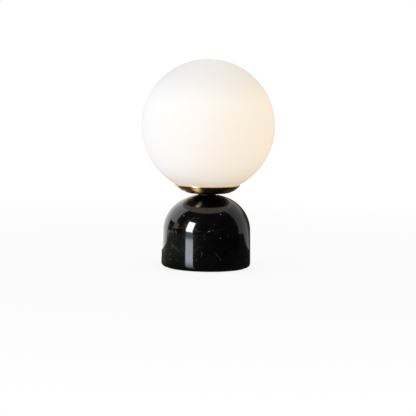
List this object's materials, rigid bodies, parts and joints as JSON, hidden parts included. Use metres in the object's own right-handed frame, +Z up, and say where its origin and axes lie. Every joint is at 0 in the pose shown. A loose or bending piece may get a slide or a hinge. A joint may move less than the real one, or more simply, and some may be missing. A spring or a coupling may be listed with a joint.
{
  "type": "table lamp",
  "caption": "Table lamp with an opal glass globe in a shallow brass dish on a domed black marble base, with lampholder and bulb inside.",
  "frame": {"origin": "centre of the resting face under the base pad", "axes": "+Z up along the lamp's axis, -Y towards the viewer, +Y towards the rear, where the cord inlet is"},
  "size_m": [0.18, 0.18, 0.2814],
  "materials": {
    "marble": "polished",
    "pad": "matte",
    "brass": "polished",
    "neck_black": "satin",
    "zinc_steel": "satin",
    "spring_steel": "polished",
    "tube_steel": "satin",
    "opal_glass": "satin",
    "silicone": "satin",
    "black_plastic": "satin",
    "black_rubber": "matte",
    "holder_plastic": "satin",
    "holder_ceramic": "satin",
    "contact_brass": "satin",
    "cap_nickel": "satin",
    "cap_insulator": "gloss",
    "solder": "satin",
    "clear_glass": "polished",
    "filament_yellow": "satin",
    "support_wire": "satin",
    "driver_board": "satin"
  },
  "bodies": {
    "stand": {"base_pad": "pad", "marble_base": "marble", "cord_grommet": "black_rubber", "base_washer": "zinc_steel", "base_spring_washer": "spring_steel", "base_nut": "zinc_steel", "centre_tube": "tube_steel", "tube_bush": "black_plastic", "neck_ring": "neck_black", "brass_dish": "brass", "globe_gasket": "silicone", "clip_spider": "spring_steel", "clip_sleeves": "silicone", "dish_spring_washer": "spring_steel", "dish_nut": "zinc_steel", "holder_cap": "holder_plastic", "holder_grub_screw": "zinc_steel", "holder_skirt": "holder_plastic", "holder_insert": "holder_ceramic", "holder_shell": "contact_brass", "centre_contact": "contact_brass", "holder_terminals": "contact_brass", "terminal_screws": "zinc_steel"},
    "globe": {"globe_glass": "opal_glass"},
    "bulb": {"bulb_contact": "solder", "bulb_insulator": "cap_insulator", "bulb_cap": "cap_nickel", "bulb_glass": "clear_glass", "bulb_stem": "clear_glass", "bulb_filaments": "filament_yellow", "bulb_supports": "support_wire", "bulb_driver": "driver_board"}
  },
  "joints": [
    {"name": "globe_lift", "type": "slide", "parent": "stand", "child": "globe", "axis": [0, 0, 1], "range_m": [0, 0.125]},
    {"name": "bulb_lift", "type": "slide", "parent": "stand", "child": "bulb", "axis": [0, 0, 1], "range_m": [0, 0.027]}
  ]
}
